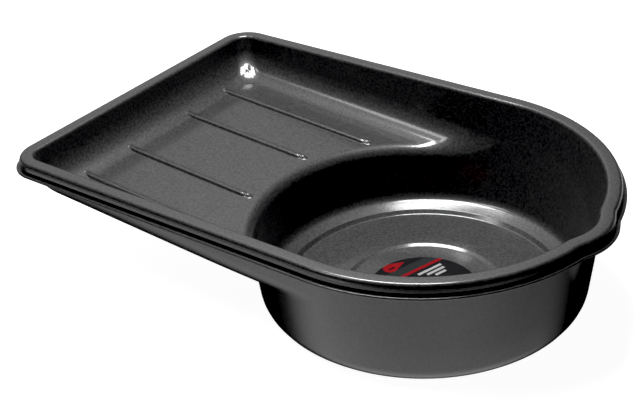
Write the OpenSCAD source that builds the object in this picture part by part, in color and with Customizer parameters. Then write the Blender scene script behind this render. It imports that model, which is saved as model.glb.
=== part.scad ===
// Oil drain pan: a shallow tray that slopes into a deep round well, with a
// channel-section rim all round and a pouring spout on the round end.
// The origin is on the well's axis, on the plane the pan stands on.
// +X points to the round end, +Z points up. All sizes are in millimetres.

/* [Overall] */
// Width over the out-turned lip
overall_w = 430; // [410:5:450]
// Height from the standing plane to the top of the rim
overall_h = 150; // [140:5:165]
// Distance from the well's axis to the lip at the straight end
tray_reach = 425; // [400:5:450]
// Wall thickness
wall_t = 3; // [2.5:0.5:3.5]

/* [Rim] */
// Width of the rim from the inner wall to the outside of the skirt
rim_w = 17.5; // [15:0.5:20]
// Depth of the skirt from the top of the rim to the top of the lip
skirt_h = 13; // [11:0.5:15]
// How far the lip turns out from the skirt
lip_w = 4.5; // [3.5:0.5:6]
// Radius of the outside corners of the straight end, at the skirt
corner_r = 36; // [32:1:44]

/* [Spout] */
// Radius of the spout's inside, at the rim
spout_r = 55; // [50:1:58]
// How far the spout bulges past the round end
spout_out = 7; // [6:0.5:9]
// Depth over which the spout fades into the well's wall
spout_depth = 60; // [50:5:65]

/* [Tray] */
// Height of the tray's floor where it meets the well
mouth_z = 86; // [80:1:90]
// Downward slope of the tray's floor toward the well, in degrees
floor_slope = 3.8; // [3:0.1:4.2]
// Inside radius between the tray's walls and its floor
fillet_r = 32; // [24:1:34]

/* [Ribs] */
// Height of the raised ribs above the tray's floor
rib_h = 3; // [2:0.5:4]
// Width of a rib at the floor
rib_w = 10; // [8:1:12]
// Distance of the two inner ribs from the centreline
rib_inner_y = 52.5; // [48:0.5:58]
// Distance of the two outer ribs from the centreline
rib_outer_y = 127; // [120:1:134]

/* [Well] */
// Inside radius of the well where its wall meets the bottom fillet
well_r = 178.5; // [176:0.5:180]
// Inside radius of the bottom fillet
well_fillet_r = 16; // [14:1:17]
// Radius of the flat main floor
floor_r = 154.5; // [150:0.5:156]
// Height of the main floor above the standing plane
floor_z = 4.5; // [4:0.5:5]
// Height of the narrow ledge round the main floor
ledge_z = 9; // [8:0.5:10]
// Radius of the shallow round recess in the middle of the floor
recess_r = 84; // [80:1:88]
// Depth of the recess
recess_depth = 2; // [1:0.5:2]

/* [Label] */
// Diameter of the round label
label_d = 124; // [110:1:140]
// Thickness of the label
label_t = 0.4; // [0.3:0.1:0.6]

/* [Hidden] */
eps = 0.02;

// Outlines: half widths and ends, from the lip inward
skirt_half_w = overall_w / 2 - lip_w;
inner_half_w = skirt_half_w - rim_w;
skirt_end_x = tray_reach - lip_w;
inner_end_x = skirt_end_x - rim_w;
inner_corner_r = corner_r - rim_w;

// Rim section, measured from the outside of the skirt and the rim's top
edge_r = 4;
skirt_step = 1;
stub_h = 6;
lip_edge = 1.5;
rim_low_z = overall_h - edge_r;

// Well: the wall leans out from the fillet to the rim
ledge_w = 1.5;
riser_w = 5;
fillet_top_z = ledge_z + well_fillet_r;
fillet_x = well_r - well_fillet_r;
wall_lean = (inner_half_w - well_r) / (rim_low_z - fillet_top_z);
wall_angle = atan(wall_lean);
recess_slope_w = 12;

// Outside of the well: a wider bottom fillet, set in by fillet_shift, over a
// round foot that carries the flat base
fillet_shift = 4;
outer_fillet_r = well_fillet_r + wall_t + fillet_shift;
outer_fillet_x = fillet_x - fillet_shift;
outer_fillet_z = fillet_top_z + fillet_shift;
base_r = floor_r + 1;
base_step_w = 4;
mouth_chamfer_w = 8;
mouth_chamfer_h = 12;

// Tray: centres of the half balls that carry the floor fillets, in the floor's frame
mouth_x = -185;
end_draft = 1.5;
end_ball_x = -(inner_end_x - end_draft - fillet_r) - mouth_x;
end_ball_y = inner_half_w - end_draft - fillet_r;
side_draft = 3;
mouth_ball_x = -70 - mouth_x;
mouth_ball_y = inner_half_w - side_draft - fillet_r;

// Ribs: a round bar sunk into the floor so that a low crown shows
rib_r = (rib_w * rib_w / 4 + rib_h * rib_h) / (2 * rib_h);
rib_start_x = -388;
rib_inner_end_x = -202;
rib_outer_end_x = -160;

// Spout: its circle crosses the well's circle at the angle spout_sweep
spout_x = inner_half_w + spout_out - spout_r;
spout_cos = (pow(inner_half_w, 2) - pow(spout_x, 2) - pow(spout_r, 2)) / (2 * spout_x * spout_r);
spout_sweep = acos(spout_cos) - 0.5;
round_fn = 180;
ball_fn = 48;

// Points of an arc from angle a0 to a1 in n steps
function arc(cx, cy, r, a0, a1, n = 6) =
    [for (i = [0:n]) let (a = a0 + (a1 - a0) * i / n) [cx + r * cos(a), cy + r * sin(a)]];

// Section of the rim: stub of the inner wall, flat top, skirt and lip
module rim_section() {
    polygon(concat(
        [[-rim_w, -edge_r - stub_h]],
        arc(-rim_w + edge_r, -edge_r, edge_r, 180, 90),
        arc(-skirt_step - edge_r, -edge_r, edge_r, 90, 0),
        [[0, -edge_r - skirt_step], [0, -skirt_h]],
        arc(lip_w - lip_edge, -skirt_h - lip_edge, lip_edge, 90, -90),
        [
            [-wall_t, -skirt_h - 2 * lip_edge],
            [-wall_t, -edge_r - skirt_step - wall_t / 2],
            [-edge_r - skirt_step, -wall_t],
            [-rim_w + wall_t, -wall_t],
            [-rim_w + wall_t, -edge_r - stub_h]
        ]
    ));
}

// The rim along one long side, on the +Y side
module rim_side() {
    side_l = skirt_end_x - corner_r;
    translate([-side_l, 0, overall_h])
        rotate([90, 0, 90])
            linear_extrude(side_l)
                translate([skirt_half_w, 0])
                    rim_section();
}

// One corner of the rim, on the +Y side
module rim_corner() {
    translate([corner_r - skirt_end_x, skirt_half_w - corner_r, overall_h])
        rotate_extrude(angle = 90, start = 90, $fn = round_fn)
            translate([corner_r, 0])
                rim_section();
}

// The rim across the straight end
module rim_end() {
    end_l = 2 * (skirt_half_w - corner_r);
    translate([0, end_l / 2, overall_h])
        rotate([90, 0, 0])
            linear_extrude(end_l)
                mirror([1, 0])
                    translate([skirt_end_x, 0])
                        rim_section();
}

// The rim round the half-circle end, opened where the spout leaves it
module rim_round() {
    difference() {
        translate([0, 0, overall_h])
            rotate_extrude(angle = 180, start = -90, $fn = round_fn)
                translate([skirt_half_w, 0])
                    rim_section();
        translate([spout_x, 0, overall_h / 2])
            cylinder(h = overall_h, r = spout_r, $fn = round_fn);
        translate([spout_x, 0, overall_h - 2 * skirt_h])
            cylinder(h = 2 * skirt_h - wall_t, r = spout_r + rim_w - wall_t, $fn = round_fn);
    }
}

// The rim round the spout
module rim_spout() {
    translate([spout_x, 0, overall_h])
        rotate_extrude(angle = 2 * spout_sweep, start = -spout_sweep, $fn = round_fn)
            translate([spout_r + rim_w, 0])
                rim_section();
}

module rim() {
    rim_round();
    rim_spout();
    rim_end();
    for (side = [0, 1]) {
        mirror([0, side, 0]) {
            rim_side();
            rim_corner();
        }
    }
}

// Moves its children into the frame of the sloping floor
module on_floor() {
    translate([mouth_x, 0, mouth_z])
        rotate([0, floor_slope, 0])
            children();
}

// Lower half of a ball of radius r
module bowl(r) {
    rotate_extrude($fn = ball_fn)
        intersection() {
            circle(r, $fn = ball_fn);
            translate([0, -r])
                square(r);
        }
}

// The tray's form: level at the rim and sloping at the floor. grow is 0 for
// the hollow and the wall thickness for the outside
module tray_form(grow) {
    hull() {
        translate([0, 0, rim_low_z - eps])
            linear_extrude(eps)
                tray_outline(grow);
        on_floor()
            for (side = [-1, 1]) {
                translate([end_ball_x, side * end_ball_y, fillet_r])
                    bowl(fillet_r + grow);
                translate([mouth_ball_x, side * mouth_ball_y, fillet_r])
                    bowl(fillet_r + grow);
            }
    }
}

// Plan outline of the tray's inner wall just under the rim
module tray_outline(grow) {
    corner_x = inner_corner_r - inner_end_x;
    corner_y = inner_half_w - inner_corner_r;
    union() {
        for (side = [-1, 1])
            translate([corner_x, side * corner_y])
                circle(inner_corner_r + grow, $fn = ball_fn);
        translate([corner_x, -inner_half_w - grow])
            square([-corner_x, 2 * (inner_half_w + grow)]);
    }
}

// Solid inside the well, from its floor up to the rim
module well_hollow() {
    rotate_extrude($fn = round_fn)
        polygon(concat(
            [
                [0, rim_low_z],
                [0, floor_z - recess_depth],
                [recess_r, floor_z - recess_depth],
                [recess_r + recess_slope_w, floor_z],
                [floor_r, floor_z],
                [floor_r + riser_w, ledge_z - eps],
                [floor_r + riser_w + ledge_w, ledge_z]
            ],
            arc(fillet_x, fillet_top_z, well_fillet_r, -90, -wall_angle),
            [[inner_half_w, rim_low_z]]
        ));
}

// Outside of the well, standing on its flat base
module well_outside() {
    rotate_extrude($fn = round_fn)
        polygon(concat(
            [[0, rim_low_z], [0, 0], [base_r, 0]],
            [[base_r + base_step_w, outer_fillet_z - outer_fillet_r]],
            arc(outer_fillet_x, outer_fillet_z, outer_fillet_r, -90, -wall_angle),
            [[inner_half_w + wall_t, rim_low_z]]
        ));
}

// The spout's bulge in the well's wall, fading out downward
module spout_form(grow) {
    foot_z = rim_low_z - spout_depth;
    foot_r = well_r + wall_lean * (foot_z - fillet_top_z) - spout_x - eps;
    translate([spout_x, 0, foot_z])
        cylinder(h = spout_depth, r1 = foot_r + grow, r2 = spout_r + grow, $fn = round_fn);
}

// Bevel on the edge where the tray's floor drops into the well. grow is 0 for
// the bevel and, for the web behind it, the wall thickness
module well_mouth(grow) {
    low_z = mouth_z - mouth_chamfer_h;
    low_r = well_r + wall_lean * (low_z - fillet_top_z);
    shift = grow * norm([mouth_chamfer_w, mouth_chamfer_h]) / mouth_chamfer_h;
    half_w = mouth_ball_y + grow;
    intersection() {
        translate([0, 0, low_z - grow])
            cylinder(
                h = 2 * mouth_chamfer_h,
                r1 = low_r + shift - grow * mouth_chamfer_w / mouth_chamfer_h,
                r2 = low_r + shift - (grow / mouth_chamfer_h - 2) * mouth_chamfer_w,
                $fn = round_fn
            );
        translate([-inner_half_w - 2 * mouth_chamfer_w, -half_w, low_z - grow])
            cube([inner_half_w, 2 * half_w, 2 * mouth_chamfer_h]);
    }
}

// One raised rib with round ends, lying on the sloping floor
module rib(y, end_x) {
    start_d = rib_start_x - mouth_x;
    length = end_x - rib_start_x;
    on_floor()
        intersection() {
            translate([start_d, y, rib_h - rib_r]) {
                rotate([0, 90, 0])
                    cylinder(h = length, r = rib_r, $fn = ball_fn);
                sphere(rib_r, $fn = ball_fn);
                translate([length, 0, 0])
                    sphere(rib_r, $fn = ball_fn);
            }
            translate([start_d - rib_w, y - rib_w, -wall_t / 2])
                cube([length + 2 * rib_w, 2 * rib_w, wall_t + rib_h]);
        }
}

module pan() {
    color("dimgray") {
        difference() {
            union() {
                rim();
                tray_form(wall_t);
                well_outside();
                spout_form(wall_t);
                well_mouth(wall_t);
            }
            tray_form(0);
            well_hollow();
            spout_form(0);
            well_mouth(0);
        }
        for (side = [-1, 1]) {
            rib(side * rib_inner_y, rib_inner_end_x);
            rib(side * rib_outer_y, rib_outer_end_x);
        }
    }
}

module label() {
    color("firebrick")
        translate([0, 0, floor_z - recess_depth])
            cylinder(h = label_t, d = label_d, $fn = round_fn);
}

pan();
label();
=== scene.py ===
import math

import bpy
import numpy as np
from mathutils import Matrix, Vector


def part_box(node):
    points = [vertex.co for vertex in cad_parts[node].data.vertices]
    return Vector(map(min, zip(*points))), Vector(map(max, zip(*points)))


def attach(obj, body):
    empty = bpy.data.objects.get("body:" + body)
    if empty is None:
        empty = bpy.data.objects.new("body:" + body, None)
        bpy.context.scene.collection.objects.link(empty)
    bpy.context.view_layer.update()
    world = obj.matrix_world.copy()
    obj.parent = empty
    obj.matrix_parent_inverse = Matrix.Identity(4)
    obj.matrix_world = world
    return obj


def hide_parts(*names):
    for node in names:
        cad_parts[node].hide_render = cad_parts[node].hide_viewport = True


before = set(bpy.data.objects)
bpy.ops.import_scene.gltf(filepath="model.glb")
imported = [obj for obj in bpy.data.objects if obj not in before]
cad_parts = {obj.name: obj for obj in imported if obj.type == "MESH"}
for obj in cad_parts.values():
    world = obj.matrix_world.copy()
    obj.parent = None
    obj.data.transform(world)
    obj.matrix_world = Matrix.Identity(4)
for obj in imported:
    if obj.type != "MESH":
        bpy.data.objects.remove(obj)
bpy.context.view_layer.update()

MM = 0.001
pan_lo, pan_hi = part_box("pan")
label_lo, label_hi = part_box("label")

# Sizes in millimetres, in the frame of the CAD part
RIM_TOP = pan_hi.z / MM
LIP_HALF_W = pan_hi.y / MM
LIP_END_X = -pan_lo.x / MM
LIP_OUT = 4.5
RIM_W = 17.5
WALL_T = 3.0
EDGE_R = 4.0
WALL_TOP = RIM_TOP - EDGE_R
HALF_W = LIP_HALF_W - LIP_OUT - RIM_W
END_X = LIP_END_X - LIP_OUT - RIM_W
CORNER_R = 18.5
WELL_LEAN, SIDE_LEAN, LEAN_FADE = 0.116, 0.05, 160.0
FLOOR_Z = 4.5
RECESS_Z = label_lo.z / MM - 0.03
RECESS_R, RECESS_EDGE_R = 85.6, 90.0
MAIN_FLOOR_R, RISER_R = 154.8, 159.5
LEDGE_Z = 9.0
LEDGE_TOP = LEDGE_Z + 6.8
BASE_R, BASE_EDGE = 150.0, 155.5
CENTRE_R = 0.6
SPOUT_R = 55.0
SPOUT_X = pan_hi.x / MM - LIP_OUT - RIM_W - SPOUT_R
SPOUT_DEPTH = 60.0
SPOUT_BLEND = 4.0
SPOUT_FADE = 50.0
MOUTH_X = -185.0
MOUTH_Z = 86.0
FLOOR_SLOPE = math.tan(math.radians(3.8))
SPLIT_Z = 60.0
TRAY_FILLET = 32.0
MOUTH_ROLL_IN, MOUTH_ROLL_OUT, ROLL_FADE = 11.0, 6.0, 70.0


def smooth(t):
    t = np.clip(t, 0.0, 1.0)
    return t * t * (3.0 - 2.0 * t)


def smooth_max(a, b, k):
    h = np.maximum(k - np.abs(a - b), 0.0) / k
    return np.maximum(a, b) + h * h * k / 4.0


def rounded(points, arc_steps=7):
    """A polyline of (s, z, corner radius) with its corners rounded."""
    pts = [np.array(p[:2], float) for p in points]
    out = [pts[0]]
    for before, here, after, corner in zip(pts, pts[1:], pts[2:], points[1:-1]):
        radius = corner[2]
        if radius == 0:
            out.append(here)
            continue
        a = (before - here) / np.linalg.norm(before - here)
        b = (after - here) / np.linalg.norm(after - here)
        half = math.acos(np.clip(np.dot(a, b), -1.0, 1.0)) / 2.0
        bisector = (a + b) / np.linalg.norm(a + b)
        centre = here + bisector * radius / math.sin(half)
        reach = radius / math.tan(half)
        start, end = here + a * reach - centre, here + b * reach - centre
        for t in np.linspace(0.0, 1.0, arc_steps + 1):
            v = start * (1 - t) + end * t
            out.append(centre + v / np.linalg.norm(v) * radius)
    out.append(pts[-1])
    return np.array(out)


def well_radius(z, grow):
    return HALF_W + grow - WELL_LEAN * (WALL_TOP - z)


def wall_outline(theta, z, grow):
    """Radius of the round end's wall, with the spout's bulge, at an angle and a height."""
    foot_z = WALL_TOP - SPOUT_DEPTH
    foot_r = well_radius(foot_z, 0.0) - SPOUT_X
    spout_r = foot_r + (SPOUT_R - foot_r) * (z - foot_z) / SPOUT_DEPTH + grow
    inside = spout_r**2 - (SPOUT_X * np.sin(theta)) ** 2
    bulge = SPOUT_X * np.cos(theta) + np.sqrt(np.maximum(inside, 0.0)) + np.minimum(inside, 0.0)
    blend = SPOUT_BLEND * smooth((z - SPLIT_Z) / SPOUT_FADE) + 0.01
    return smooth_max(well_radius(z, grow), bulge, blend)


def plan_outline():
    """Points and outward normals along the inner wall's top, once round the pan."""
    points = []
    for angle in np.linspace(-90.0, 90.0, 261)[:-1]:
        a = math.radians(angle)
        r = float(wall_outline(a, WALL_TOP, 0.0))
        points.append((r * math.cos(a), r * math.sin(a)))
    straight = END_X - CORNER_R
    side = [(-x, HALF_W) for x in np.linspace(0.0, straight, 111)[:-1]]
    corner = [
        (CORNER_R * math.cos(a) - straight, HALF_W - CORNER_R + CORNER_R * math.sin(a))
        for a in np.radians(np.linspace(90.0, 180.0, 15))[:-1]
    ]
    end = [(-END_X, y) for y in np.linspace(HALF_W - CORNER_R, 0.0, 51)[:-1]]
    half = side + corner + end
    points += half + [(-END_X, 0.0)] + [(x, -y) for x, y in reversed(half[1:])]
    points = np.array(points)
    tangent = np.roll(points, -1, 0) - np.roll(points, 1, 0)
    normal = np.stack([tangent[:, 1], -tangent[:, 0]], 1)
    return points, normal / np.linalg.norm(normal, axis=1)[:, None]


def side_lean(x):
    return SIDE_LEAN + (WELL_LEAN - SIDE_LEAN) * smooth((x + LEAN_FADE) / LEAN_FADE)


def floor_height(x):
    return MOUTH_Z - FLOOR_SLOPE * (x - MOUTH_X)


def tray_height(x, y, grow):
    """Height of the tray's surface, inside for grow 0 and outside for the wall's thickness."""
    dx, dy = x + END_X + grow, HALF_W + grow - np.abs(y)
    floor_z = floor_height(x) - grow
    lean = side_lean(x)

    def distance(radius):
        ex, ey = np.maximum(radius - dx, 0.0), np.maximum(radius - dy, 0.0)
        return np.where((ex > 0) & (ey > 0), radius - np.hypot(ex, ey), np.minimum(dx, dy))

    d = distance(CORNER_R + grow)
    d = distance(CORNER_R + grow + np.clip(1.2 * d, 0.0, 20.0))
    fillet = TRAY_FILLET + grow
    slant = np.sqrt(1 + lean**2)
    centre_z = floor_z + fillet
    centre_d = lean * (WALL_TOP - centre_z) + fillet * slant
    bend = centre_z - np.sqrt(np.maximum(fillet**2 - (centre_d - d) ** 2, 0.0))
    wall = WALL_TOP - d / lean
    on_wall = d < centre_d - fillet / slant
    return np.where(on_wall, wall, np.where(d < centre_d, bend, floor_z))


def tray_ray(theta, end_r, grow, roll):
    """The well's wall, the rolled edge, the tray's floor and its wall, along one ray."""
    r = np.linspace(float(well_radius(SPLIT_Z, grow)), end_r, 5200)
    x, y = r * math.cos(theta), r * math.sin(theta)
    tray_z = tray_height(x, y, grow)
    nudge = 0.02
    tilt_x = (tray_height(x + nudge, y, grow) - tray_z) / nudge
    tilt_y = (tray_height(x, y + nudge, grow) - tray_z) / nudge
    c = 1.0 / np.sqrt(1.0 + tilt_x**2 + tilt_y**2)
    well_z = WALL_TOP - (HALF_W + grow - r) / WELL_LEAN
    roll = roll * float(smooth(-HALF_W * math.cos(theta) / ROLL_FADE)) + 0.05
    b = WELL_LEAN / math.sqrt(1.0 + WELL_LEAN**2)
    a = (r - HALF_W - grow + WELL_LEAN * WALL_TOP) * b / WELL_LEAN
    p, q = roll - a, roll - c * tray_z
    half_b = (p * b + q * c) / (c * c + b * b)
    rest = (p * p + q * q - roll * roll) / (c * c + b * b)
    bend = -half_b + np.sqrt(np.maximum(half_b**2 - rest, 0.0))
    on_well = c * (tray_z - well_z) >= roll
    on_tray = a - b * tray_z >= roll
    lower = np.minimum(well_z, tray_z)
    return r, np.where(on_well, well_z, np.where(on_tray, tray_z, np.minimum(bend, lower)))


def resample(r, z, count):
    """The same curve with its points placed closer together where it bends."""
    step = np.hypot(np.diff(r), np.diff(z))
    keep = np.concatenate([[True], step > 1e-6])
    r, z = r[keep], z[keep]
    along = np.concatenate([[0.0], np.cumsum(np.hypot(np.diff(r), np.diff(z)))])
    even = np.linspace(0.0, along[-1], 1500)
    r, z = np.interp(even, along, r), np.interp(even, along, z)
    heading = np.unwrap(np.arctan2(np.diff(z), np.diff(r)))
    bend = np.abs(np.diff(heading, prepend=heading[0], append=heading[-1]))
    kernel = np.hanning(31)
    bend = np.convolve(bend, kernel / kernel.sum(), "same")
    weight = even[1] / 4.0 + 7.0 * bend
    total = np.cumsum(weight) - weight[0]
    places = np.linspace(0.0, total[-1], count)
    return np.interp(places, total, r), np.interp(places, total, z)


def upper_profile(outline, grow, roll, count):
    """Radius and height from the split level up to the wall's top, for every column."""
    columns = []
    for x, y in outline:
        theta, end_r = math.atan2(y, x), math.hypot(x, y)
        if x > -1e-9:
            z = np.linspace(SPLIT_Z, WALL_TOP, 800)
            r = wall_outline(theta, z, grow)
            r = r + (end_r - r[-1]) * smooth((z - SPLIT_Z) / (WALL_TOP - SPLIT_Z))
        else:
            r, z = tray_ray(theta, end_r, grow, roll)
            z = z + (WALL_TOP - z[-1]) * smooth((r - r[0]) / (r[-1] - r[0])) ** 8
        columns.append(np.stack(resample(r, z, count), 1))
    return np.array(columns)


def new_object(name, coords, faces, material):
    mesh = bpy.data.meshes.new(name)
    mesh.from_pydata((np.asarray(coords) * MM).tolist(), [], faces)
    mesh.validate()
    mesh.polygons.foreach_set("use_smooth", [True] * len(mesh.polygons))
    mesh.materials.append(material)
    obj = bpy.data.objects.new(name, mesh)
    bpy.context.scene.collection.objects.link(obj)
    return obj


def ring_faces(rows, n, flip=False):
    """Quads between neighbouring rings of n points each."""
    faces = []
    for k in range(rows - 1):
        for i in range(n):
            j = (i + 1) % n
            quad = (k * n + i, (k + 1) * n + i, (k + 1) * n + j, k * n + j)
            faces.append(quad[::-1] if flip else quad)
    return faces


def pan_surface():
    """One closed skin: inside from the centre out, over the rim, and back underneath."""
    outline, normal = plan_outline()
    n = len(outline)
    split_in = float(well_radius(SPLIT_Z, 0.0))
    split_out = float(well_radius(SPLIT_Z, WALL_T))
    floor = rounded(
        [
            (CENTRE_R, RECESS_Z, 0),
            (RECESS_R, RECESS_Z, 2.5),
            (RECESS_EDGE_R, FLOOR_Z, 2.5),
            (MAIN_FLOOR_R, FLOOR_Z, 4),
            (RISER_R, LEDGE_Z, 2.0),
            (float(well_radius(LEDGE_TOP, 0.0)), LEDGE_TOP, 12),
            (split_in, SPLIT_Z, 0),
        ]
    )
    under = rounded(
        [
            (split_out, SPLIT_Z, 0),
            (float(well_radius(LEDGE_Z - WALL_T, WALL_T)), LEDGE_Z - WALL_T, 23),
            (RISER_R - 0.5, LEDGE_Z - WALL_T, 0.8),
            (BASE_EDGE, 0.0, 2.0),
            (BASE_R, 0.0, 0),
            (CENTRE_R, 0.0, 0),
        ]
    )
    skirt_low = RIM_TOP - 11.7
    lip_low = skirt_low - 3.4
    rim = rounded(
        [
            (0.0, WALL_TOP, 0),
            (0.0, RIM_TOP, EDGE_R - 0.05),
            (RIM_W - 0.5, RIM_TOP, EDGE_R),
            (RIM_W - 0.5, RIM_TOP - 4.6, 0.2),
            (RIM_W, RIM_TOP - 4.9, 0.2),
            (RIM_W, skirt_low + 2.2, 0.5),
            (RIM_W - 1.6, skirt_low + 1.2, 0.4),
            (RIM_W - 1.6, skirt_low - 0.5, 0.4),
            (RIM_W + LIP_OUT, skirt_low - 0.5, 1.3),
            (RIM_W + LIP_OUT, lip_low, 1.3),
            (RIM_W - WALL_T, lip_low, 0.5),
            (RIM_W - WALL_T, RIM_TOP - WALL_T, 1.5),
            (WALL_T, RIM_TOP - WALL_T, 1.5),
            (WALL_T, WALL_TOP, 0),
        ]
    )
    inner = upper_profile(outline, 0.0, MOUTH_ROLL_IN, 120)
    shifted = outline + normal * WALL_T
    outer = upper_profile(shifted, WALL_T, MOUTH_ROLL_OUT, 90)[:, ::-1]
    theta_in = np.arctan2(outline[:, 1], outline[:, 0])
    theta_out = np.arctan2(shifted[:, 1], shifted[:, 0])

    def polar(theta, r, z):
        return np.stack([r * np.cos(theta), r * np.sin(theta), z], -1)

    rows = []
    for r, z in floor[:-1]:
        rows.append(polar(theta_in, np.full(n, r), np.full(n, z)))
    for k in range(inner.shape[1] - 1):
        rows.append(polar(theta_in, inner[:, k, 0], inner[:, k, 1]))
    for s, z in rim[:-1]:
        rows.append(np.concatenate([outline + normal * s, np.full((n, 1), z)], 1))
    for k in range(outer.shape[1] - 1):
        rows.append(polar(theta_out, outer[:, k, 0], outer[:, k, 1]))
    for r, z in under:
        rows.append(polar(theta_out, np.full(n, r), np.full(n, z)))
    coords = np.concatenate(rows + [[[0.0, 0.0, RECESS_Z], [0.0, 0.0, 0.0]]])
    faces = ring_faces(len(rows), n)
    top, bottom = len(coords) - 2, len(coords) - 1
    last = (len(rows) - 1) * n
    for i in range(n):
        j = (i + 1) % n
        faces.append((top, i, j))
        faces.append((bottom, last + j, last + i))
    return coords, faces


def rib_surface(y, end_x):
    """A raised rib, straight along its top, with a long nose toward the well."""
    start_x, half_w, height, nose, taper = -390.0, 5.0, 3.3, 8.0, 7.0
    sink = 0.04
    spine = np.linspace(start_x, end_x, 110)
    cap = np.linspace(90.0, -90.0, 37)[1:-1]
    around = [(x, 0.0, 1.0) for x in spine]
    around += [(end_x, math.cos(math.radians(a)), math.sin(math.radians(a))) for a in cap]
    around += [(x, 0.0, -1.0) for x in spine[::-1]]
    around += [(start_x, -math.cos(math.radians(a)), -math.sin(math.radians(a))) for a in cap]
    around = np.array(around)
    reach = np.where(around[:, 1] > 0, nose, half_w)
    soft = smooth((around[:, 0] - end_x + taper) / taper)
    rows = []
    for t in np.sin(np.linspace(0.02, 0.5 * math.pi, 18)):
        x = around[:, 0] + around[:, 1] * reach * t
        side = y + around[:, 2] * half_w * t
        sunk = tray_height(x, side, 0.0) - sink
        steep, gentle = 1.0 - t**5, 0.5 + 0.5 * math.cos(math.pi * t**1.15)
        lift = height * (steep + (gentle - steep) * soft) - sink
        top = np.maximum(floor_height(x) + lift, sunk)
        rows.append(np.stack([x, side, top], 1))
    faces = ring_faces(len(rows), len(around), flip=True)
    half = len(spine)
    low = 2 * half + len(cap) - 1
    for i in range(half - 1):
        faces.append((i, i + 1, low - i - 1, low - i))
    return np.concatenate(rows), faces


def plastic():
    mat = bpy.data.materials.new("black_plastic")
    mat.use_nodes = True
    tree = mat.node_tree
    bsdf = tree.nodes["Principled BSDF"]
    coord = tree.nodes.new("ShaderNodeTexCoord")
    grain = tree.nodes.new("ShaderNodeTexNoise")
    grain.inputs["Scale"].default_value = 360.0
    grain.inputs["Detail"].default_value = 3.0
    tree.links.new(coord.outputs["Object"], grain.inputs["Vector"])
    bump = tree.nodes.new("ShaderNodeBump")
    bump.inputs["Strength"].default_value = 0.5
    bump.inputs["Distance"].default_value = 0.0004
    tree.links.new(grain.outputs["Fac"], bump.inputs["Height"])
    tree.links.new(bump.outputs["Normal"], bsdf.inputs["Normal"])
    gloss = tree.nodes.new("ShaderNodeBump")
    gloss.inputs["Strength"].default_value = 0.15
    gloss.inputs["Distance"].default_value = 0.0003
    tree.links.new(grain.outputs["Fac"], gloss.inputs["Height"])
    tree.links.new(gloss.outputs["Normal"], bsdf.inputs["Coat Normal"])
    patch = tree.nodes.new("ShaderNodeTexNoise")
    patch.inputs["Scale"].default_value = 35.0
    patch.inputs["Detail"].default_value = 4.0
    tree.links.new(coord.outputs["Object"], patch.inputs["Vector"])
    rough = tree.nodes.new("ShaderNodeMapRange")
    rough.inputs["To Min"].default_value = 0.52
    rough.inputs["To Max"].default_value = 0.60
    tree.links.new(patch.outputs["Fac"], rough.inputs["Value"])
    tree.links.new(rough.outputs["Result"], bsdf.inputs["Roughness"])
    bsdf.inputs["Coat Weight"].default_value = 1.0
    bsdf.inputs["Coat Roughness"].default_value = 0.13
    tint = tree.nodes.new("ShaderNodeMix")
    tint.data_type = "RGBA"
    tint.inputs["A"].default_value = (0.010, 0.010, 0.011, 1)
    tint.inputs["B"].default_value = (0.038, 0.038, 0.039, 1)
    spread = tree.nodes.new("ShaderNodeMapRange")
    spread.inputs["From Min"].default_value, spread.inputs["From Max"].default_value = 0.35, 0.65
    tree.links.new(grain.outputs["Fac"], spread.inputs["Value"])
    tree.links.new(spread.outputs["Result"], tint.inputs["Factor"])
    tree.links.new(tint.outputs["Result"], bsdf.inputs["Base Color"])
    return mat


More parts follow.
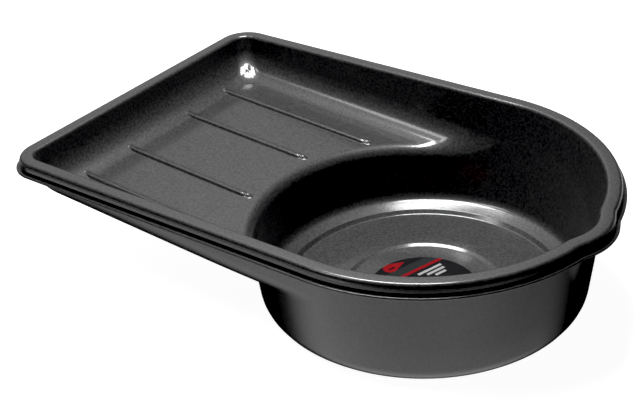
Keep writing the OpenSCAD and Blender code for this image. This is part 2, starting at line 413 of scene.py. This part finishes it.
def label_material():
    """A dark print with a red band, a red drop and plain pale bars."""
    mat = bpy.data.materials.new("label_print")
    mat.use_nodes = True
    nodes, links = mat.node_tree.nodes, mat.node_tree.links
    bsdf = nodes["Principled BSDF"]
    place = nodes.new("ShaderNodeTexCoord").outputs["Object"]

    def along(angle):
        """Distance in millimetres from the label's centre, along a direction."""
        node = nodes.new("ShaderNodeVectorMath")
        node.operation = "DOT_PRODUCT"
        turn = math.radians(angle)
        node.inputs[1].default_value = (math.cos(turn) / MM, math.sin(turn) / MM, 0.0)
        links.new(place, node.inputs[0])
        return node.outputs["Value"]

    def math_node(op, *values):
        node = nodes.new("ShaderNodeMath")
        node.operation = op
        for entry, value in zip(node.inputs, values):
            if isinstance(value, bpy.types.NodeSocket):
                links.new(value, entry)
            else:
                entry.default_value = value
        return node.outputs[0]

    across, down = along(-17.5), along(72.5)

    def strip(value, middle, half):
        return math_node("COMPARE", value, middle, half)

    def paint(under, mask, tone):
        node = nodes.new("ShaderNodeMix")
        node.data_type = "RGBA"
        links.new(mask, node.inputs["Factor"])
        if isinstance(under, bpy.types.NodeSocket):
            links.new(under, node.inputs["A"])
        else:
            node.inputs["A"].default_value = under
        node.inputs["B"].default_value = tone
        return node.outputs["Result"]

    red, pale = (0.19, 0.007, 0.010, 1), (0.30, 0.30, 0.30, 1)
    ink = paint((0.009, 0.009, 0.010, 1), strip(across, -40.0, 6.0), (0.020, 0.022, 0.023, 1))
    ink = paint(ink, strip(across, -31.8, 2.3), red)
    offset_a, offset_b = math_node("ADD", across, 54.0), math_node("ADD", down, 4.0)
    ball = math_node("ADD", math_node("POWER", offset_a, 2.0), math_node("POWER", offset_b, 2.0))
    ball = math_node("LESS_THAN", ball, 72.0)
    reach = math_node("MULTIPLY", math_node("SUBTRACT", 21.0, offset_b), 0.44)
    tip = math_node("LESS_THAN", math_node("ABSOLUTE", offset_a), reach)
    tip = math_node("MULTIPLY", tip, math_node("GREATER_THAN", offset_b, 3.0))
    ink = paint(ink, math_node("MAXIMUM", ball, tip), red)
    glint = math_node("MULTIPLY", strip(offset_a, 1.5, 1.4), strip(offset_b, 1.0, 4.5))
    ink = paint(ink, glint, (0.03, 0.004, 0.005, 1))
    for middle, start, end in ((-23.0, 12.0, 46.0), (-16.5, 20.0, 45.0), (-10.0, 27.0, 42.0)):
        bar = math_node(
            "MULTIPLY",
            strip(across, middle, 1.9),
            strip(down, (start + end) / 2.0, (end - start) / 2.0),
        )
        ink = paint(ink, bar, pale)
    links.new(ink, bsdf.inputs["Base Color"])
    grain = nodes.new("ShaderNodeTexNoise")
    grain.inputs["Scale"].default_value = 400.0
    links.new(place, grain.inputs["Vector"])
    sheen = nodes.new("ShaderNodeMapRange")
    sheen.inputs["To Min"].default_value, sheen.inputs["To Max"].default_value = 0.35, 0.5
    links.new(grain.outputs["Fac"], sheen.inputs["Value"])
    links.new(sheen.outputs["Result"], bsdf.inputs["Roughness"])
    bsdf.inputs["Specular IOR Level"].default_value = 0.15
    return mat


def label_surface():
    radius = label_hi.x / MM
    low, high = label_lo.z / MM, label_hi.z / MM
    profile = rounded([(0.5, high, 0), (radius, high, 0.15), (radius, low, 0)])
    n = 144
    theta = np.linspace(0.0, 2 * math.pi, n + 1)[:-1]
    rows = [np.stack([r * np.cos(theta), r * np.sin(theta), np.full(n, z)], 1) for r, z in profile]
    coords = np.concatenate(rows + [[[0.0, 0.0, high]]])
    faces = ring_faces(len(rows), n)
    for i in range(n):
        faces.append((len(coords) - 1, i, (i + 1) % n))
    return coords, faces


# Ribs: distance from the centreline and the x of the end toward the well
RIBS = ((52.5, -203.0), (-52.5, -203.0), (127.0, -161.0), (-127.0, -161.0))

black = plastic()
coords, faces = pan_surface()
for rib_y, rib_end in RIBS:
    rib_coords, rib_faces = rib_surface(rib_y, rib_end)
    base = len(coords)
    coords = np.concatenate([coords, rib_coords])
    faces += [tuple(v + base for v in f) for f in rib_faces]
pan = new_object("pan_shell", coords, faces, black)
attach(pan, "root")
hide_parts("pan")

label_coords, label_faces = label_surface()
label = new_object("label_disc", label_coords, label_faces, label_material())
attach(label, "root")
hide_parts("label")

# Camera: the picture's viewing angle, from the target along the line of sight
AZIMUTH, ELEVATION, ROLL = math.radians(37.957), math.radians(30.718), math.radians(-3.458)
TARGET = Vector((-0.15239, 0.01684, 0.060))
DISTANCE = 1.5478
LENS_MM = 74.429438
back = Vector(
    (
        math.sin(AZIMUTH) * math.cos(ELEVATION),
        -math.cos(AZIMUTH) * math.cos(ELEVATION),
        math.sin(ELEVATION),
    )
)
right = (-back).cross(Vector((0, 0, 1))).normalized()
up = right.cross(-back)
turned_right = right * math.cos(ROLL) + up * math.sin(ROLL)
turned_up = up * math.cos(ROLL) - right * math.sin(ROLL)
camera_data = bpy.data.cameras.new("camera")
camera_data.sensor_width = 36.0
camera_data.lens = LENS_MM
camera_data.clip_start, camera_data.clip_end = 0.05, 50.0
camera = bpy.data.objects.new("camera", camera_data)
bpy.context.scene.collection.objects.link(camera)
place = Matrix((turned_right, turned_up, back)).transposed().to_4x4()
place.translation = TARGET + back * DISTANCE
camera.matrix_world = place
bpy.context.scene.camera = camera

# Stage: a soft box overhead, a sky that is bright on the far side, and a pale floor.
# Places in the sky are given as near / height and side / height from the camera's side
toward = Vector((back.x, back.y, 0)).normalized()
aside = Vector((-toward.y, toward.x, 0))
centre = Vector((0, 0, 0.05))
OVERHEAD_H = 1.2
OVERHEAD_LEVEL = 30.0
BOX_NEAR, BOX_SIDE = (-0.45, -0.02), (-0.30, 0.12)
box_u, box_v = sum(BOX_NEAR) / 2, sum(BOX_SIDE) / 2
box_l, box_w = OVERHEAD_H * (BOX_NEAR[1] - BOX_NEAR[0]), OVERHEAD_H * (BOX_SIDE[1] - BOX_SIDE[0])
box_light = bpy.data.lights.new("overhead", "AREA")
box_light.shape = "RECTANGLE"
box_light.size, box_light.size_y = box_w, box_l
box_light.energy = OVERHEAD_LEVEL * math.pi * box_w * box_l
overhead = bpy.data.objects.new("overhead", box_light)
bpy.context.scene.collection.objects.link(overhead)
overhead.location = centre + (Vector((0, 0, 1)) + toward * box_u + aside * box_v) * OVERHEAD_H
overhead.rotation_euler = (0, 0, math.atan2(aside.y, aside.x))
overhead.visible_camera = False

world = bpy.data.worlds.new("world")
bpy.context.scene.world = world
world.use_nodes = True
tree = world.node_tree
background = tree.nodes["Background"]
coordinate = tree.nodes.new("ShaderNodeTexCoord")


def calc(op, *values):
    """One math node of the sky's formula, of numbers or other nodes' outputs."""
    node = tree.nodes.new("ShaderNodeMath")
    node.operation = op
    for slot_in, value in zip(node.inputs, values):
        if isinstance(value, bpy.types.NodeSocket):
            tree.links.new(value, slot_in)
        else:
            slot_in.default_value = value
    return node.outputs[0]


def ramp(value, low, high):
    """0 below low, 1 above high, with a soft step between them."""
    node = tree.nodes.new("ShaderNodeMapRange")
    node.interpolation_type = "SMOOTHSTEP"
    tree.links.new(value, node.inputs["Value"])
    if low < high:
        node.inputs["From Min"].default_value, node.inputs["From Max"].default_value = low, high
    else:
        node.inputs["From Min"].default_value, node.inputs["From Max"].default_value = high, low
        node.inputs["To Min"].default_value, node.inputs["To Max"].default_value = 1.0, 0.0
    return node.outputs["Result"]


def component(axis):
    node = tree.nodes.new("ShaderNodeVectorMath")
    node.operation = "DOT_PRODUCT"
    tree.links.new(coordinate.outputs["Generated"], node.inputs[0])
    node.inputs[1].default_value = axis
    return node.outputs["Value"]


near, side_way, height = component(toward), component(aside), component(Vector((0, 0, 1)))
SKY_LEVEL, NEAR_LEVEL, LAMP_LEVEL, TABLE_LEVEL = 0.5, 0.10, 9.0, 1.2
above = ramp(height, -0.02, 0.02)

# Broad soft light on the far side, and a faint fill on the near side
turn = calc("ADD", side_way, calc("MULTIPLY", near, 0.8))
far_light = calc("MULTIPLY", ramp(turn, -0.25, -0.6), SKY_LEVEL)
far_light = calc("MULTIPLY", far_light, ramp(height, 0.08, 0.38))
far_light = calc("MULTIPLY", far_light, ramp(side_way, -0.8, -0.4))
near_light = calc("MULTIPLY", ramp(height, 0.7, 0.4), NEAR_LEVEL)
near_light = calc("MULTIPLY", near_light, ramp(near, -0.2, 0.3))

# A small lamp beside the overhead box
rise = calc("MAXIMUM", height, 0.02)
sky_u, sky_v = calc("DIVIDE", near, rise), calc("DIVIDE", side_way, rise)
lamp_u = calc("MULTIPLY", ramp(sky_u, 0.3, 0.2), ramp(sky_u, -0.06, 0.1))
lamp_v = calc("MULTIPLY", ramp(sky_v, -0.4, -0.52), ramp(sky_v, -0.92, -0.72))
lamp = calc("MULTIPLY", calc("MULTIPLY", lamp_u, lamp_v), LAMP_LEVEL)
sky = calc("MULTIPLY", calc("ADD", calc("ADD", far_light, near_light), lamp), above)

# Light that comes back from the table below
drop = calc("MAXIMUM", calc("MULTIPLY", height, -1.0), 0.02)
table_u, table_v = calc("DIVIDE", near, drop), calc("DIVIDE", side_way, drop)
table_near = calc("MULTIPLY", ramp(table_u, 1.7, 1.0), ramp(table_u, -0.6, 0.1))
table_side = calc("MULTIPLY", ramp(table_v, 1.7, 0.1), ramp(table_v, -3.0, -2.0))
table_far = calc("MULTIPLY", ramp(table_u, -1.3, -1.8), 0.6)
table = calc("ADD", calc("MULTIPLY", table_near, table_side), table_far)
table = calc("MULTIPLY", table, TABLE_LEVEL)

# The camera itself sees plain white
light = calc("ADD", sky, calc("MULTIPLY", table, ramp(height, 0.0, -0.02)))
light_path = tree.nodes.new("ShaderNodeLightPath")
seen = light_path.outputs["Is Camera Ray"]
level = calc("ADD", calc("MULTIPLY", light, calc("SUBTRACT", 1.0, seen)), seen)
tree.links.new(level, background.inputs["Strength"])
background.inputs["Color"].default_value = (1, 1, 1, 1)

# Floor: seen by the camera only, so that the pan reflects just the lights
floor_mesh = bpy.data.meshes.new("floor")
FLOOR_HALF, FLOOR_DROP = 12.0, -0.0005
floor_mesh.from_pydata(
    [(x * FLOOR_HALF, y * FLOOR_HALF, FLOOR_DROP) for x, y in ((-1, -1), (1, -1), (1, 1), (-1, 1))],
    [],
    [(0, 1, 2, 3)],
)
floor_mat = bpy.data.materials.new("floor")
floor_mat.use_nodes = True
floor_bsdf = floor_mat.node_tree.nodes["Principled BSDF"]
floor_bsdf.inputs["Base Color"].default_value = (0.5, 0.5, 0.5, 1)
floor_bsdf.inputs["Roughness"].default_value = 0.9
floor_bsdf.inputs["Specular IOR Level"].default_value = 0.1
floor_bsdf.inputs["Emission Color"].default_value = (1, 1, 1, 1)
floor_bsdf.inputs["Emission Strength"].default_value = 0.95
floor_mesh.materials.append(floor_mat)
floor_obj = bpy.data.objects.new("floor", floor_mesh)
bpy.context.scene.collection.objects.link(floor_obj)
floor_obj.visible_glossy = False
floor_obj.visible_diffuse = False

# View: plain, with the darkest tones taken down to black
BLACK_LEVEL = 0.014
view = bpy.context.scene.view_settings
view.view_transform = "Standard"
view.use_curve_mapping = True
view.curve_mapping.black_level = (BLACK_LEVEL, BLACK_LEVEL, BLACK_LEVEL)
view.curve_mapping.update()
